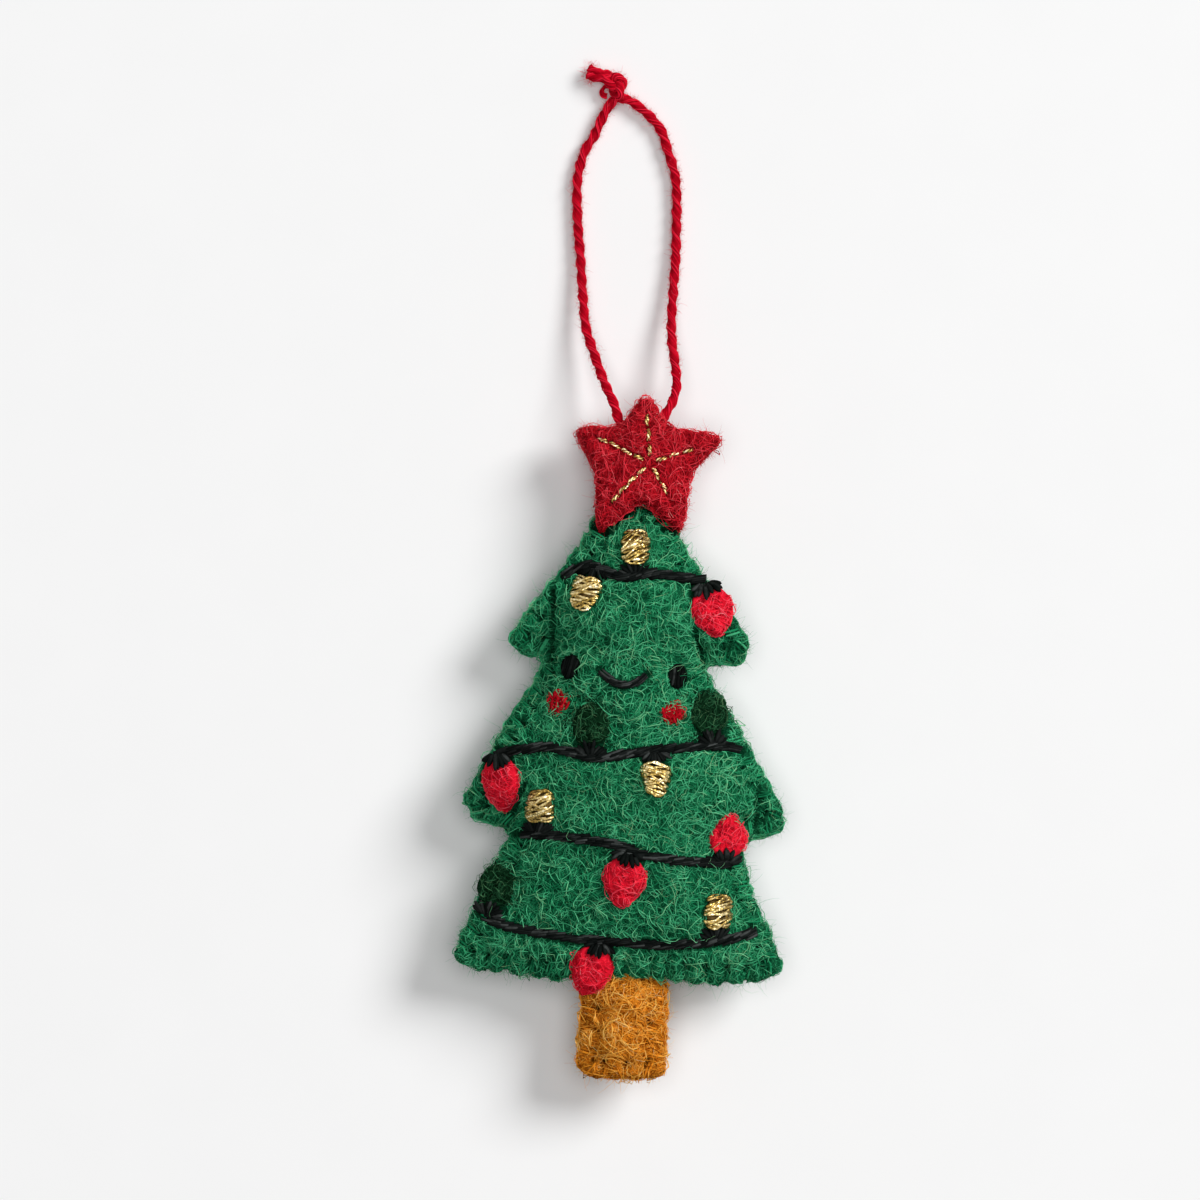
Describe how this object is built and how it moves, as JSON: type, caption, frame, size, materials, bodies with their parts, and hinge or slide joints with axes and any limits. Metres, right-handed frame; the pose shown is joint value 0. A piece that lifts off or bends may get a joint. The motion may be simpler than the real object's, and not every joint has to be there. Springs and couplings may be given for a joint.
{
  "type": "felt christmas ornament",
  "caption": "Stuffed felt christmas tree ornament with a trunk, a star, embroidered string lights and face, and a yarn loop that swings at the star to hang it by.",
  "frame": {"origin": "under the middle of the ornament without its hanging yarn, on the surface that it lies on", "axes": "+X to the tree's right as seen from its face, +Y from the trunk up to the star, +Z out of the face; it lies on its back as in the picture"},
  "size_m": [0.0612, 0.1892, 0.0251],
  "materials": {
    "green_felt": "matt wool felt with a fuzzy nap",
    "dark_green_wool": "matt felted wool",
    "red_felt": "matt wool felt with a fuzzy nap",
    "red_wool": "matt wool, loosely felted or spun",
    "brown_felt": "matt wool felt with a fuzzy nap",
    "gold_thread": "shiny metallised film thread",
    "black_thread": "dull cotton embroidery thread",
    "stuffing": "loose fibre filling"
  },
  "bodies": {
    "ornament": {"tree_front_sheet": "green_felt", "tree_back_sheet": "green_felt", "tree_edge_stitching": "green_felt", "tree_stuffing": "stuffing", "trunk_front_sheet": "brown_felt", "trunk_back_sheet": "brown_felt", "trunk_edge_stitching": "brown_felt", "trunk_stuffing": "stuffing", "star_front_sheet": "red_felt", "star_back_sheet": "red_felt", "star_wadding": "stuffing", "star_ray_right": "gold_thread", "star_ray_top": "gold_thread", "star_ray_left": "gold_thread", "star_ray_lower_left": "gold_thread", "star_ray_lower_right": "gold_thread", "light_wire_1": "black_thread", "light_wire_2": "black_thread", "light_wire_3": "black_thread", "light_wire_4": "black_thread", "gold_bulb_1": "gold_thread", "gold_bulb_1_socket": "black_thread", "gold_bulb_2": "gold_thread", "gold_bulb_2_socket": "black_thread", "gold_bulb_3": "gold_thread", "gold_bulb_3_socket": "black_thread", "gold_bulb_4": "gold_thread", "gold_bulb_4_socket": "black_thread", "gold_bulb_5": "gold_thread", "gold_bulb_5_socket": "black_thread", "red_bulb_1": "red_wool", "red_bulb_1_socket": "black_thread", "red_bulb_2": "red_wool", "red_bulb_2_socket": "black_thread", "red_bulb_3": "red_wool", "red_bulb_3_socket": "black_thread", "red_bulb_4": "red_wool", "red_bulb_4_socket": "black_thread", "small_red_bulb_1": "red_wool", "small_red_bulb_1_socket": "black_thread", "dark_green_bulb_1": "dark_green_wool", "dark_green_bulb_1_socket": "black_thread", "dark_green_bulb_2": "dark_green_wool", "dark_green_bulb_2_socket": "black_thread", "dark_green_bulb_3": "dark_green_wool", "dark_green_bulb_3_socket": "black_thread", "eye_left": "black_thread", "cheek_left": "red_felt", "eye_right": "black_thread", "cheek_right": "red_felt", "smile": "black_thread"},
    "hanger": {"hanging_loop": "red_wool", "loop_knot": "red_wool", "loop_tail_upper": "red_wool", "loop_tail_lower": "red_wool"}
  },
  "joints": [
    {"name": "loop_swing", "type": "hinge", "parent": "ornament", "child": "hanger", "pos_m": [0.00163, 0.06033, 0.00995], "axis": [1, 0, 0], "range_deg": [-50, 85]}
  ]
}
